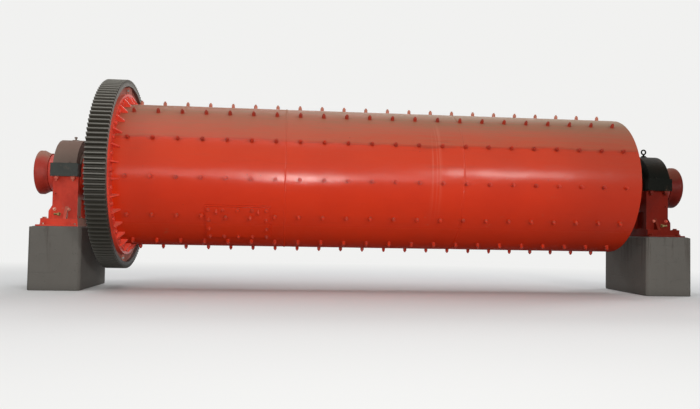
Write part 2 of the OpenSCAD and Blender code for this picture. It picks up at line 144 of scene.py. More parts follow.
class Graph:
    """A material with a few short calls for its nodes."""

    def __init__(self, name):
        self.material = bpy.data.materials.new(name)
        self.material.use_nodes = True
        self.tree = self.material.node_tree
        self.shader = self.tree.nodes["Principled BSDF"]
        coords = self.node("ShaderNodeTexCoord")
        self.place = coords.outputs["Object"]
        self.normal = coords.outputs["Normal"]

    def node(self, kind, **settings):
        made = self.tree.nodes.new(kind)
        for key, value in settings.items():
            setattr(made, key, value)
        return made

    def feed(self, socket, value):
        """Links another node's output to a socket, or sets a plain value on it."""
        if isinstance(value, bpy.types.NodeSocket):
            self.tree.links.new(value, socket)
        else:
            socket.default_value = value

    def math(self, operation, a, b=0.0):
        made = self.node("ShaderNodeMath", operation=operation)
        self.feed(made.inputs[0], a)
        self.feed(made.inputs[1], b)
        return made.outputs[0]

    def add(self, a, b):
        return self.math("ADD", a, b)

    def times(self, a, b):
        return self.math("MULTIPLY", a, b)

    def larger(self, a, b):
        return self.math("MAXIMUM", a, b)

    def smaller(self, a, b):
        return self.math("MINIMUM", a, b)

    def absolute(self, a):
        return self.math("ABSOLUTE", a)

    def rest(self, share):
        """What a share leaves of one."""
        return self.math("SUBTRACT", 1.0, share)

    def hypotenuse(self, a, b):
        return self.math("SQRT", self.add(self.times(a, a), self.times(b, b)))

    def swing(self, noise_value, width):
        """A noise value moved to lie about zero, over a width."""
        return self.times(self.add(noise_value, -0.5), width)

    def ramp(self, value, low, high, start=0.0, end=1.0):
        """A smooth step of value from low to high."""
        made = self.node("ShaderNodeMapRange", interpolation_type="SMOOTHSTEP")
        for index, item in enumerate((value, low, high, start, end)):
            self.feed(made.inputs[index], item)
        return made.outputs[0]

    def axis(self, vector, letter):
        made = self.node("ShaderNodeSeparateXYZ")
        self.feed(made.inputs[0], vector)
        return made.outputs[letter]

    def at(self, letter):
        """One coordinate of the place."""
        return self.axis(self.place, letter)

    def faces(self, letter):
        """How far the surface faces along an axis, from -1 to 1."""
        return self.axis(self.normal, letter)

    def above_axis(self):
        """Height over the drum axis."""
        return self.add(self.at("Z"), -AXIS_Z)

    def radius(self):
        """Distance from the drum axis."""
        return self.hypotenuse(self.at("Y"), self.above_axis())

    def scaled(self, x, y, z):
        """The place, stretched along each axis."""
        made = self.node("ShaderNodeVectorMath", operation="MULTIPLY")
        self.feed(made.inputs[0], self.place)
        made.inputs[1].default_value = (x, y, z)
        return made.outputs[0]

    def noise(self, scale, detail=4.0, rough=0.55, vector=None):
        made = self.node("ShaderNodeTexNoise")
        self.feed(made.inputs["Vector"], vector or self.place)
        made.inputs["Scale"].default_value = scale
        made.inputs["Detail"].default_value = detail
        made.inputs["Roughness"].default_value = rough
        return made.outputs["Fac"]

    def cells(self, scale):
        """Distance to the nearest of many scattered points."""
        made = self.node("ShaderNodeTexVoronoi")
        self.feed(made.inputs["Vector"], self.place)
        made.inputs["Scale"].default_value = scale
        return made.outputs["Distance"]

    def between(self, kind, factor, a, b):
        made = self.node("ShaderNodeMix", data_type=kind)
        self.feed(made.inputs["Factor"], factor)
        self.feed(made.inputs["A"], a)
        self.feed(made.inputs["B"], b)
        return made.outputs["Result"]

    def mix(self, factor, a, b):
        """A colour between a and b."""
        return self.between("RGBA", factor, a, b)

    def blend(self, factor, a, b):
        """A number between a and b."""
        return self.between("FLOAT", factor, a, b)

    def bump(self, height, distance, below=None):
        made = self.node("ShaderNodeBump")
        made.inputs["Distance"].default_value = distance
        self.feed(made.inputs["Height"], height)
        if below:
            self.feed(made.inputs["Normal"], below)
        return made.outputs["Normal"]

    def edges(self):
        """How far a place is on an edge, where a rounded normal leaves the true one."""
        rounded = self.node("ShaderNodeBevel", samples=4)
        rounded.inputs["Radius"].default_value = 0.009
        true = self.node("ShaderNodeNewGeometry")
        made = self.node("ShaderNodeVectorMath", operation="DOT_PRODUCT")
        self.feed(made.inputs[0], rounded.outputs["Normal"])
        self.feed(made.inputs[1], true.outputs["True Normal"])
        return self.ramp(made.outputs["Value"], 0.99, 0.90)

    def finish(self, colour, roughness, normal=None, metallic=None):
        self.feed(self.shader.inputs["Base Color"], colour)
        self.feed(self.shader.inputs["Roughness"], roughness)
        if normal:
            self.feed(self.shader.inputs["Normal"], normal)
        if metallic is not None:
            self.feed(self.shader.inputs["Metallic"], metallic)
        return self.material


def place_in_step(g, value, first, step):
    """Where a value lies in a row of even steps, as a fraction that is 0.5 on each of them."""
    # Added so that the fraction is never that of a negative number
    whole_steps = 40
    return g.math("FRACT", g.add(g.times(g.add(value, -first), 1 / step), whole_steps + 0.5))


def bolt_shadow_smudges(g):
    """Dark smudges round every liner bolt, longer along the drum than round it: oil and the bolt's painted
    shadow.
    """
    turn = g.math("ARCTAN2", g.times(g.at("Y"), -1.0), g.above_axis())
    row_step = 2 * math.pi / BOLT_ROWS
    row = place_in_step(g, turn, FIRST_ROW_TURN, row_step)
    place = place_in_step(g, g.at("X"), FIRST_BOLT_X, BOLT_PITCH)
    round_drum = g.times(g.add(row, -0.5), row_step * SHELL_R)
    # The smudge's middle lies a little to the drive end's side of the bolt, where the painted shadow falls
    along = g.times(g.add(place, -0.46), BOLT_PITCH * 0.45)
    uneven = g.swing(g.noise(1.0, 5, 0.7, g.scaled(9, 30, 30)), 0.05)
    return g.ramp(g.add(g.hypotenuse(round_drum, along), uneven), 0.034, 0.010)


def drum_dust(g, height, ragged, fine_drift):
    """A film down to the third row of bolts, a thicker layer on top, and splashes all over."""
    film = g.add(g.times(g.ramp(ragged, 0.41, 0.47), 0.36), g.ramp(height, -0.3, 0.3, 0.0, 0.15))
    layer = g.times(g.ramp(ragged, 0.50, 0.95), g.ramp(g.at("X"), -1.5, 1.5, 0.42, 0.56))
    dusty = g.times(g.add(film, layer), g.blend(g.noise(70, 2, 0.5), 0.80, 1.02))
    dusty = g.times(dusty, g.ramp(fine_drift, 0.38, 0.62, 0.88, 1.10))
    splash = g.times(g.ramp(g.noise(5.5, 6, 0.7), 0.63, 0.75), 0.28)
    return g.larger(dusty, splash)


def dust_drips(g, height):
    """Narrow, pale drips down from the dust, at one place along the drum."""
    most = 0.17
    narrow = g.ramp(g.noise(1.0, 3, 0.6, g.scaled(64, 0.8, 0.8)), 0.48, 0.60)
    near = g.ramp(g.absolute(g.add(g.at("X"), -SPILL_X)), 0.085, 0.05)
    share = g.smaller(g.ramp(height, -0.75, 0.25, 0.0, most), g.ramp(height, 0.84, 0.62, 0.0, most))
    return g.times(g.times(narrow, near), share)


def drum_grime_and_ledge_shade(g, height, drift):
    """Brown streaks, mostly on the upper half, and dirt and painted shade on the upward ledges below it."""
    streaks = g.times(g.ramp(drift, 0.60, 0.72), g.ramp(height, -0.2, 0.5, 0.04, 0.30))
    # Upward ledges on the lower half are darkened: painted shade
    ledge = g.times(g.ramp(g.faces("Z"), 0.5, 0.8), g.ramp(height, 0.35, 0.2))
    return g.larger(streaks, g.times(ledge, 0.45))


def drum_oil_and_bolt_shadows(g, height, ragged, fine_drift):
    """Oil and painted bolt shadows round the bolts, and a broken dark line along the lower edge of the dust.
    """
    share = g.smaller(g.ramp(height, 0.0, 0.4, 0.15, 0.50), g.ramp(height, 0.98, 0.7, 0.1, 0.32))
    line = g.times(g.ramp(ragged, 0.405, 0.43), g.ramp(ragged, 0.47, 0.44))
    line = g.times(line, g.ramp(fine_drift, 0.40, 0.60, 0.05, 0.35))
    return g.larger(g.times(bolt_shadow_smudges(g), share), line)


def drum_enamel():
    """Orange-red enamel, brown with dust on its upper part, and darker towards the free end as painted shade.
    """
    g = Graph("drum_enamel")
    # From -1 at the drum's underside to 1 at its top
    height = g.times(g.above_axis(), 1 / SHELL_R)
    cloud = g.noise(1.3, 5, 0.6)
    drift = g.noise(1.0, 6, 0.65, g.scaled(0.8, 7, 7))
    fine_drift = g.noise(1.0, 5, 0.7, g.scaled(3, 46, 46))
    ragged = g.add(height, g.swing(drift, 0.20))

    colour = g.mix(g.ramp(cloud, 0.3, 0.75, 0.0, 0.35), ORANGE_RED, DEEP_RED)
    colour = g.mix(g.times(g.ramp(fine_drift, 0.56, 0.74), 0.30), colour, DEEP_RED)
    # Darker towards the free end: painted shade
    colour = g.mix(g.ramp(g.at("X"), 1.5, 2.5, 0.0, 0.34), colour, FREE_END_SHADE_RED)
    dusty = drum_dust(g, height, ragged, fine_drift)
    pale = g.times(g.ramp(height, 0.80, 1.0), g.ramp(g.at("X"), -2.0, 1.5))
    colour = g.mix(dusty, colour, g.mix(pale, DUST, PALE_DUST))
    colour = g.mix(dust_drips(g, height), colour, DRIP_PINK)
    colour = g.mix(drum_grime_and_ledge_shade(g, height, drift), colour, BROWN_GRIME_AND_SHADE)
    colour = g.mix(drum_oil_and_bolt_shadows(g, height, ragged, fine_drift), colour, OIL_AND_SHADOW_RED)
    chipped = g.ramp(g.noise(38, 3, 0.6), 0.735, 0.75)
    colour = g.mix(chipped, colour, PRIMER_RED)

    rough = g.blend(dusty, g.blend(cloud, 0.13, 0.21), 0.80)
    rough = g.blend(g.ramp(height, -0.6, -0.9), rough, 0.6)
    normal = g.bump(g.noise(260, 2, 0.5), 0.0004)
    normal = g.bump(g.noise(3.2, 2, 0.4), 0.006, normal)
    g.feed(g.shader.inputs["Specular IOR Level"], g.ramp(height, -0.95, -0.6, 0.03, 0.20))
    return g.finish(colour, rough, normal)


def dome_dust_and_highlight(g):
    """Dust and a painted highlight lie on a cap's dome, thicker upwards, but not on its bolted block."""
    height = g.at("Z")
    above_block = g.ramp(height, BLOCK_TOP, BLOCK_TOP + 0.009)
    share = g.ramp(height, AXIS_Z + 0.08, AXIS_Z + 0.36, 0.50, 0.95)
    return g.times(above_block, share), DOME_DUST_AND_HIGHLIGHT


def bolt_tone_by_height(g):
    """The bolts on the drum's upper half are darker, those along its very top paler."""
    height = g.above_axis()
    tone = g.mix(g.ramp(height, 0.74, 0.80), (0.20, 0.026, 0.011, 1), (0.50, 0.30, 0.21, 1))
    share = g.add(g.ramp(height, 0.05, 0.30, 0.0, 0.36), g.ramp(height, 0.45, 0.60, 0.0, 0.24))
    return share, tone


def splash_dust_and_light(g):
    """Spilled dust and painted light, pale, on the lower part of the pedestals' sides that face the drum."""
    towards_drum = g.times(g.at("X"), g.faces("X"))
    low = g.ramp(g.add(g.at("Z"), g.times(g.noise(8, 4, 0.6), 0.08)), 1.04, 0.98)
    patchy = g.ramp(g.noise(5, 5, 0.7), 0.3, 0.6, 0.7, 0.95)
    return g.times(g.times(g.ramp(towards_drum, -1.0, -2.6), low), patchy), SPLASH_DUST_AND_LIGHT


def casting_enamel(name, paint, shade, dust=DUST, rough=0.34, dust_share=0.75, settled=None,
                   gleam=0.28, bare=PRIMER_RED):
    """Paint over a rough casting: dust on upward faces, a grainy skin, the colour bare on worn edges.

    settled gives the share and the tone of a layer that lies in some places only; for some paints it holds
    painted light.
    """
    g = Graph(name)
    cloud = g.noise(4.0, 5, 0.6)
    colour = g.mix(g.ramp(cloud, 0.35, 0.7), paint, shade)
    runs = g.noise(1.0, 5, 0.7, g.scaled(28, 28, 2.5))
    colour = g.mix(g.times(g.ramp(runs, 0.60, 0.72), 0.4), colour, shade)
    dusty = g.times(g.ramp(g.add(g.faces("Z"), g.swing(cloud, 0.9)), 0.25, 0.95), dust_share)
    dusty = g.larger(dusty, g.times(g.ramp(g.noise(9, 6, 0.7), 0.6, 0.75), 0.3))
    colour = g.mix(dusty, colour, dust)
    if settled:
        share, tone = settled(g)
        colour = g.mix(share, colour, tone)
        dusty = g.larger(dusty, share)
    worn = g.times(g.edges(), g.ramp(g.noise(22, 4, 0.7), 0.48, 0.62))
    colour = g.mix(g.times(worn, 0.8), colour, bare)
    roughness = g.blend(dusty, g.blend(cloud, rough, rough + 0.14), 0.85)
    normal = g.bump(g.noise(130, 3, 0.6), 0.0012)
    normal = g.bump(g.noise(14, 3, 0.5), 0.003, normal)
    g.shader.inputs["Specular IOR Level"].default_value = gleam
    return g.finish(colour, roughness, normal)


def gear_steel():
    """Cast gear steel: worn grey tooth lands, dark gaps with dust in the upper ones, grease and painted shade
    low down, a painted web.
    """
    g = Graph("gear_steel")
    radius = g.radius()
    # Radii of the tooth lands and of the rim's bare edge, inside which the gear is painted
    land_r, rim_r = 1.030, 0.970
    cloud = g.noise(6, 5, 0.6)
    scratch = g.noise(1.0, 4, 0.7, g.scaled(6, 160, 160))
    # Darker towards the bottom: grease, and painted shade
    grease_and_shade = g.ramp(g.above_axis(), 0.15, -0.85)
    land = g.ramp(radius, land_r, land_r + 0.008)
    face = g.times(g.ramp(g.absolute(g.faces("X")), 0.8, 0.95), g.ramp(radius, rim_r - 0.008, rim_r))
    shine = g.times(g.larger(land, g.times(face, 0.9)), g.rest(g.times(grease_and_shade, 0.85)))
    bright = g.mix(scratch, GEAR_BRIGHT, GEAR_WORN)
    colour = g.mix(cloud, GEAR_DARK, GREASE)
    colour = g.mix(g.times(shine, g.blend(cloud, 0.75, 1.0)), colour, bright)
    colour = g.mix(g.times(g.times(face, shine), 0.5), colour, GEAR_FACE)
    colour = g.mix(g.times(grease_and_shade, 0.8), colour, GEAR_GREASE_AND_SHADE)
    painted = g.ramp(radius, rim_r, rim_r - 0.004)
    # The web: dusty red, paler as painted light
    colour = g.mix(painted, colour, g.mix(cloud, WEB_RED, WEB_SHADE))
    dusty = g.times(g.ramp(g.faces("Z"), 0.0, 0.9), g.ramp(cloud, 0.3, 0.8, 0.35, 0.75))
    dusty = g.times(dusty, g.ramp(g.above_axis(), 0.3, 0.9, 0.12, 1.0))
    colour = g.mix(dusty, colour, GEAR_DUST)
    rough = g.blend(shine, g.blend(cloud, 0.38, 0.6), g.blend(face, 0.42, 0.62))
    rough = g.blend(g.larger(dusty, painted), rough, 0.75)
    metal = g.times(g.blend(land, 0.08, g.times(shine, 0.5)), g.rest(painted))
    normal = g.bump(scratch, 0.0006)
    normal = g.bump(g.noise(90, 3, 0.6), 0.0008, normal)
    g.shader.inputs["Specular IOR Level"].default_value = 0.28
    return g.finish(colour, rough, normal, metal)


def turned_steel():
    """Turned journals: fine rings, grease, rust on the cone, and paint on their outer ends, darker at the
    free end as painted shade.
    """
    g = Graph("turned_steel")
    rings = g.noise(1.0, 5, 0.75, g.scaled(420, 3, 3))
    smear = g.noise(7, 5, 0.65)
    radius = g.radius()
    colour = g.mix(rings, BARE_STEEL, (0.24, 0.24, 0.235, 1))
    colour = g.mix(g.times(g.ramp(smear, 0.45, 0.7), 0.7), colour, GREASE)
    rusty = g.times(g.ramp(g.noise(12, 6, 0.7), 0.56, 0.7), g.ramp(radius, 0.21, 0.25))
    colour = g.mix(rusty, colour, RUST)
    edge = g.add(g.absolute(g.at("X")), g.swing(smear, 0.02))
    painted = g.times(g.ramp(edge, PAINT_START, PAINT_START + 0.004), g.ramp(radius, 0.180, 0.190))
    # The free end's paint is darker: painted shade
    free_end = g.ramp(g.at("X"), -0.1, 0.1)
    red = g.mix(free_end, g.mix(smear, CASTING_RED, DEEP_RED), SHADED_RED)
    colour = g.mix(painted, colour, red)
    rough = g.blend(rusty, g.blend(smear, 0.22, 0.42), 0.8)
    metal = g.times(g.blend(rusty, 0.95, 0.2), g.rest(painted))
    return g.finish(colour, rough, g.bump(rings, 0.0004), metal)


def plain_metal(name, colour, dark, rough, metallic=0.9, grime=0.5):
    """A metal part with a grainy tone, grime in patches and worn edges."""
    g = Graph(name)
    cloud = g.noise(24, 5, 0.65)
    tone = g.mix(g.noise(110, 3, 0.6), colour, dark)
    grimy = g.times(g.ramp(cloud, 0.45, 0.7), grime)
    tone = g.mix(grimy, tone, GREASE)
    tone = g.mix(g.times(g.edges(), 0.5), tone, colour)
    roughness = g.blend(cloud, rough, rough + 0.2)
    normal = g.bump(g.noise(220, 3, 0.6), 0.0005)
    return g.finish(tone, roughness, normal, g.blend(grimy, metallic, 0.1))


def liner_steel():
    """Liner plates worn by balls and ore: dull, dented and powdered."""
    g = Graph("liner_steel")
    cloud = g.noise(5, 5, 0.6)
    colour = g.mix(cloud, (0.13, 0.12, 0.11, 1), (0.24, 0.22, 0.19, 1))
    colour = g.mix(g.ramp(g.noise(3, 5, 0.6), 0.5, 0.7), colour, GREY_DUST)
    dents = g.bump(g.cells(26), 0.004)
    return g.finish(colour, g.blend(cloud, 0.5, 0.75), dents, 0.5)


def concrete():
    """Cast concrete: board marks, pores, stains that run down from the sole plate."""
    g = Graph("concrete")
    cloud = g.noise(2.6, 6, 0.6)
    grit = g.noise(240, 3, 0.6)
    height = g.at("Z")
    board_width = 0.19
    board = g.math("FRACT", g.times(g.add(height, g.times(cloud, 0.012)), 1 / board_width))
    from_middle = g.absolute(g.add(board, -0.5))
    joint = g.times(g.ramp(from_middle, 0.47, 0.497), g.ramp(g.noise(7, 3, 0.6), 0.4, 0.6))
    few = g.ramp(g.noise(9, 2, 0.5), 0.5, 0.6)
    pores = g.times(g.ramp(g.cells(46), 0.10, 0.16, 1.0, 0.0), few)
    colour = g.mix(cloud, CONCRETE, (0.075, 0.070, 0.062, 1))
    colour = g.mix(g.times(grit, 0.35), colour, (0.17, 0.16, 0.145, 1))
    runs = g.noise(1.0, 5, 0.7, g.scaled(16, 16, 1.2))
    stain = g.times(g.ramp(runs, 0.52, 0.66), g.ramp(height, 0.15, 0.65, 0.05, 0.75))
    colour = g.mix(stain, colour, (0.050, 0.040, 0.033, 1))
    damp = g.ramp(g.add(height, g.times(cloud, 0.12)), 0.17, 0.05)
    colour = g.mix(g.times(damp, 0.5), colour, (0.060, 0.056, 0.050, 1))
    colour = g.mix(g.times(joint, 0.18), colour, (0.065, 0.060, 0.054, 1))
    colour = g.mix(pores, colour, (0.035, 0.033, 0.031, 1))
    normal = g.bump(grit, 0.0015)
    hollows = g.times(g.add(pores, g.times(joint, 0.4)), -1.0)
    normal = g.bump(hollows, 0.004, normal)
    return g.finish(colour, g.blend(cloud, 0.82, 0.95), normal)


DRUM_PAINT = drum_enamel()
# The flange's red is paler than the drum's, as painted light where the gear's rim shades it
FLANGE_PAINTED_LIGHT = casting_enamel("flange_enamel_painted_light", (0.84, 0.085, 0.050, 1), (0.66, 0.050, 0.026, 1),
                              TAN_DUST, rough=0.26, dust_share=0.40)
BRIGHT_FRAME = casting_enamel("frame_enamel", CASTING_RED, DEEP_RED, TAN_DUST, settled=splash_dust_and_light)
# The free end's frame paint is darker than the drive end's: painted shade
SHADED_FRAME = casting_enamel("frame_enamel_shaded", (0.165, 0.010, 0.004, 1), (0.11, 0.007, 0.0035, 1),
                            dust_share=0.35, gleam=0.07)
# The drive end's cap carries dust and a painted highlight on its dome
CAP_DUST_AND_HIGHLIGHT = casting_enamel("cap_enamel_dust_and_highlight", (0.030, 0.036, 0.031, 1), (0.018, 0.022, 0.019, 1),
                           DOME_DUST_AND_HIGHLIGHT, rough=0.32, dust_share=0.25, settled=dome_dust_and_highlight, bare=DARK_IRON)
# The free end's cap is nearly black, with little dust and gloss: painted shade
SHADED_CAP = casting_enamel("cap_enamel", (0.007, 0.0078, 0.006, 1), (0.0045, 0.005, 0.004, 1),
                          rough=0.36, dust_share=0.04, gleam=0.04, bare=DARK_IRON)
RING_PAINT = casting_enamel("ring_enamel", (0.33, 0.025, 0.013, 1), (0.22, 0.014, 0.009, 1),
                            TAN_DUST, rough=0.48)
# The free end's mouth ring is darker than the drive end's: painted shade
SHADED_RING = casting_enamel("ring_enamel_shaded", (0.15, 0.012, 0.007, 1), (0.10, 0.008, 0.005, 1),
                           dust_share=0.35, gleam=0.10)
# Pinkish red paint on the nuts, paler than the frame's as a painted highlight
NUT_HIGHLIGHT_PAINT = casting_enamel("nut_enamel_highlight", (0.66, 0.20, 0.14, 1), CASTING_RED, TAN_DUST, dust_share=0.2)
# Pale pink paint on the plugs: a painted highlight on their rounded heads
PLUG_HIGHLIGHT_PAINT = casting_enamel("plug_enamel_highlight", (0.90, 0.45, 0.35, 1), (0.66, 0.22, 0.14, 1),
                            TAN_DUST, rough=0.28, dust_share=0.1)
HEAD_PAINT = casting_enamel("head_primer", (0.25, 0.040, 0.025, 1), (0.15, 0.030, 0.021, 1),
                            GREY_DUST, rough=0.5)
BOLT_PAINT = casting_enamel("bolt_enamel", ORANGE_RED, DEEP_RED, rough=0.30, dust_share=0.45,
                            settled=bolt_tone_by_height)
GEAR_STEEL = gear_steel()
JOURNAL_STEEL = turned_steel()
BOLT_STEEL = plain_metal("bolt_steel", (0.50, 0.50, 0.48, 1), (0.22, 0.22, 0.21, 1), rough=0.3)
BRONZE = plain_metal("bearing_bronze", (0.55, 0.36, 0.14, 1), (0.32, 0.20, 0.08, 1), rough=0.3)
BRASS = plain_metal("plug_brass", (0.30, 0.21, 0.08, 1), (0.16, 0.11, 0.045, 1), rough=0.34,
                    metallic=0.8, grime=0.4)
LINER_STEEL = liner_steel()
CONCRETE_SKIN = concrete()


# Mesh helpers

def on_shell(x, radius, turn):
    """The place on the drum at a turn from the top towards the front."""
    return Vector((x, -radius * math.sin(turn), AXIS_Z + radius * math.cos(turn)))


def outward(x, radius, turn):
    """A frame on the drum whose Z points straight out from the axis."""
    return Matrix.Translation(on_shell(x, radius, turn)) @ Matrix.Rotation(turn, 4, "X")


def facing(place, direction):
    """A frame at a place whose Z points along a direction."""
    turn = Vector((0, 0, 1)).rotation_difference(Vector(direction)).to_matrix().to_4x4()
    return Matrix.Translation(place) @ turn


def add_piece(name, mesh, material, body):
    """Puts a finished mesh into the scene as a piece that rides on a body."""
    piece = bpy.data.objects.new(name, mesh)
    bpy.context.scene.collection.objects.link(piece)
    mesh.materials.clear()
    mesh.materials.append(material)
    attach(piece, body)
    return piece


def smooth_mesh(mesh, angle):
    """Smooth shading, but for the edges that are sharper than an angle in degrees."""
    mesh.shade_smooth()
    mesh.set_sharp_from_angle(angle=math.radians(angle))


def mesh_of(name, verts, faces, angle):
    mesh = bpy.data.meshes.new(name)
    mesh.from_pydata(verts, [], faces)
    mesh.validate()
    smooth_mesh(mesh, angle)
    return mesh


def join_copies(name, template, places, material, body):
    """One piece made of a template's vertices and faces at every place."""
    verts, faces = template
    all_verts = []
    all_faces = []
    for place in places:
        start = len(all_verts)
        all_verts += [place @ v for v in verts]
        all_faces += [[start + i for i in face] for face in faces]
    add_piece(name, mesh_of(name, all_verts, all_faces, 35), material, body)


def merged(*templates):
    """Several templates as one."""
    verts = []
    faces = []
    for part_verts, part_faces in templates:
        start = len(verts)
        verts += part_verts
        faces += [[start + i for i in face] for face in part_faces]
    return verts, faces


def lathe(profile, sides, shape=None):
    """A closed turned form about Z. profile lists (radius, z) upwards, shape bends a ring's radius."""
    verts = []
    faces = []
    for radius, z in profile:
        for k in range(sides):
            angle = 2 * math.pi * k / sides
            r = shape(radius, k) if shape else radius
            verts.append(Vector((r * math.cos(angle), r * math.sin(angle), z)))
    for ring in range(len(profile) - 1):
        for k in range(sides):
            a = ring * sides + k
            b = ring * sides + (k + 1) % sides
            faces.append([a, b, b + sides, a + sides])
    faces.append(list(range(sides - 1, -1, -1)))
    top = (len(profile) - 1) * sides
    faces.append([top + k for k in range(sides)])
    return verts, faces


def hexagon(across, z0, height):
    """A hexagon nut or head with chamfered corners."""
    flat = across / 2
    corner = flat / math.cos(math.pi / 6)
    chamfer = (corner - flat) * 0.6
    # A radius of 0 stands for the hexagon's own outline
    rings = [(flat * 0.96, z0), (0, z0 + chamfer), (0, z0 + height - chamfer), (flat * 0.96, z0 + height)]

    def outline(radius, k):
        if radius:
            return radius
        return corner if k % 2 == 0 else flat

    return lathe(rings, 12, outline)


def stud(radius, z0, z1, ridges=0):
    """A round bar with a chamfered end and, where asked, a few thread ridges."""
    profile = [(radius, z0)]
    pitch = 0.003
    chamfer = 0.002
    for k in range(ridges):
        z = z1 - chamfer - pitch * (ridges - k)
        profile += [(radius * 0.9, z), (radius, z + pitch / 2)]
    profile += [(radius, z1 - chamfer), (radius * 0.82, z1)]
    return lathe(profile, 12)


def washer(radius, z0, height):
    """A round washer with a chamfered edge."""
    return lathe([(radius, z0), (radius, z0 + height * 0.7), (radius * 0.95, z0 + height)], 20)


def liner_bolt():
    """The outer end of a liner bolt: washer, nut, lock nut and threaded end."""
    nuts = merged(hexagon(0.034, 0.003, 0.019), hexagon(0.033, 0.0215, 0.013))
    return merged(washer(0.022, -0.003, 0.007), nuts, stud(0.011, 0.02, 0.047, 4))


def capscrew(across, height, reach=0.0):
    """A hexagon head on a washer, with the bolt's end past it where reach is given."""
    parts = [washer(across * 0.72, -0.001, across * 0.12), hexagon(across, across * 0.10, height)]
    if reach:
        parts.append(stud(across * 0.31, height * 0.5, height + across * 0.10 + reach, 3))
    return merged(*parts)


def lifting_lug(half_length, height, wall, hole):
    """A welded plate with a hole: it stands on XY, its plane is YZ and its top is round."""
    sides = 32
    top_r = half_length * 0.8
    centre = height - top_r
    sunk = centre + 0.004
    verts = []
    for x in (-wall / 2, wall / 2):
        for k in range(sides):
            angle = 2 * math.pi * k / sides
            y, z = math.cos(angle), math.sin(angle)
            if z >= 0:
                reach = top_r
            else:
                reach = min(half_length / max(abs(y), 1e-6), sunk / -z)
            verts.append(Vector((x, y * reach, centre + z * reach)))
        for k in range(sides):
            angle = 2 * math.pi * k / sides
            verts.append(Vector((x, hole * math.cos(angle), centre + hole * math.sin(angle))))
    faces = []
    for k in range(sides):
        following = (k + 1) % sides
        near = [k, following, sides + following, sides + k]
        far = [2 * sides + i for i in near]
        faces += [near[::-1], far]
        faces.append([near[0], near[1], far[1], far[0]])
        faces.append([near[3], near[2], far[2], far[3]][::-1])
    return verts, faces


def refined(node, width, material, segments=2):
    """A CAD node's mesh with rounded edges, which stands for the node."""
    least_bend = math.radians(28)
    form = bmesh.new()
    form.from_mesh(frame["nodes"][node].data)
    bmesh.ops.remove_doubles(form, verts=form.verts, dist=1e-5)
    bmesh.ops.dissolve_limit(form, angle_limit=math.radians(1), verts=form.verts, edges=form.edges)
    sharp = [e for e in form.edges if len(e.link_faces) == 2 and e.calc_face_angle(0) > least_bend]
    bmesh.ops.bevel(form, geom=sharp, offset=width, segments=segments, profile=0.6, affect="EDGES",
                    clamp_overlap=True)
    mesh = bpy.data.meshes.new(node + "_rounded")
    form.to_mesh(mesh)
    form.free()
    smooth_mesh(mesh, 30)
    body = next(b for b, nodes in frame["record"]["behaviour"]["bodies"].items() if node in nodes)
    piece = add_piece(node + "_rounded", mesh, material, body)
    piece.modifiers.new("normals", "WEIGHTED_NORMAL").keep_sharp = True
    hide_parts(node)


def weld_bead(name, path, normals, closed, radius):
    """A weld bead on the drum along a path: half round, with the scales that a weld has."""
    sides = 6
    verts = []
    faces = []
    count = len(path)
    travelled = 0.0
    for i, (place, up) in enumerate(zip(path, normals)):
        ahead = path[(i + 1) % count] if closed or i + 1 < count else place
        behind = path[i - 1] if closed or i else place
        along = (ahead - behind).normalized()
        across = up.cross(along).normalized()
        travelled += (place - behind).length
        scale = 0.16 * math.sin(2 * math.pi * travelled / WELD_SCALE)
        swell = 1 + scale + 0.12 * noise.noise(place * 18)
        for k in range(sides):
            a = math.pi * k / (sides - 1)
            verts.append(place + across * radius * 1.5 * swell * math.cos(a)
                         + up * (radius * 0.75 * swell * math.sin(a) - 0.0008))
    steps = count if closed else count - 1
    for i in range(steps):
        for k in range(sides):
            a = i * sides + k
            b = i * sides + (k + 1) % sides
            shift = ((i + 1) % count) * sides - i * sides
            faces.append([a, b, b + shift, a + shift])
    if not closed:
        faces.append(list(range(sides)))
        faces.append([steps * sides + k for k in range(sides - 1, -1, -1)])
    add_piece(name, mesh_of(name, verts, faces, 60), DRUM_PAINT, "drum")


# The drum

def shell_plate(node):
    """A rolled course: a little uneven, and drawn in along its welded ends."""
    low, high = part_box(node)
    start, end = low.x, high.x
    sides = 224
    rows = max(2, round((end - start) / 0.045))
    verts = []
    faces = []
    for i in range(rows + 1):
        x = start + (end - start) * i / rows
        for k in range(sides):
            turn = 2 * math.pi * k / sides
            place = on_shell(x, SHELL_R, turn)
            swell = 0.0011 * noise.noise(place * 1.6 + Vector((start * 7, 0, 0)))
            swell += 0.0005 * noise.noise(place * 4.5)
            nearest = min(abs(x - seam) for seam in SEAMS)
            swell -= 0.0016 * math.exp(-(nearest / 0.07) ** 2)
            verts.append(on_shell(x, SHELL_R + swell, turn))
    for x in (end, start):
        for k in range(sides):
            verts.append(on_shell(x, SHELL_R - SHELL_WALL, 2 * math.pi * k / sides))
    for i in range(rows + 2):
        for k in range(sides):
            a = i * sides + k
            b = i * sides + (k + 1) % sides
            faces.append([a, a + sides, b + sides, b])
    last = (rows + 2) * sides
    for k in range(sides):
        following = (k + 1) % sides
        faces.append([last + k, k, following, last + following])
    name = node + "_plate"
    piece = add_piece(name, mesh_of(name, verts, faces, 40), DRUM_PAINT, "drum")
    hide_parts(node)


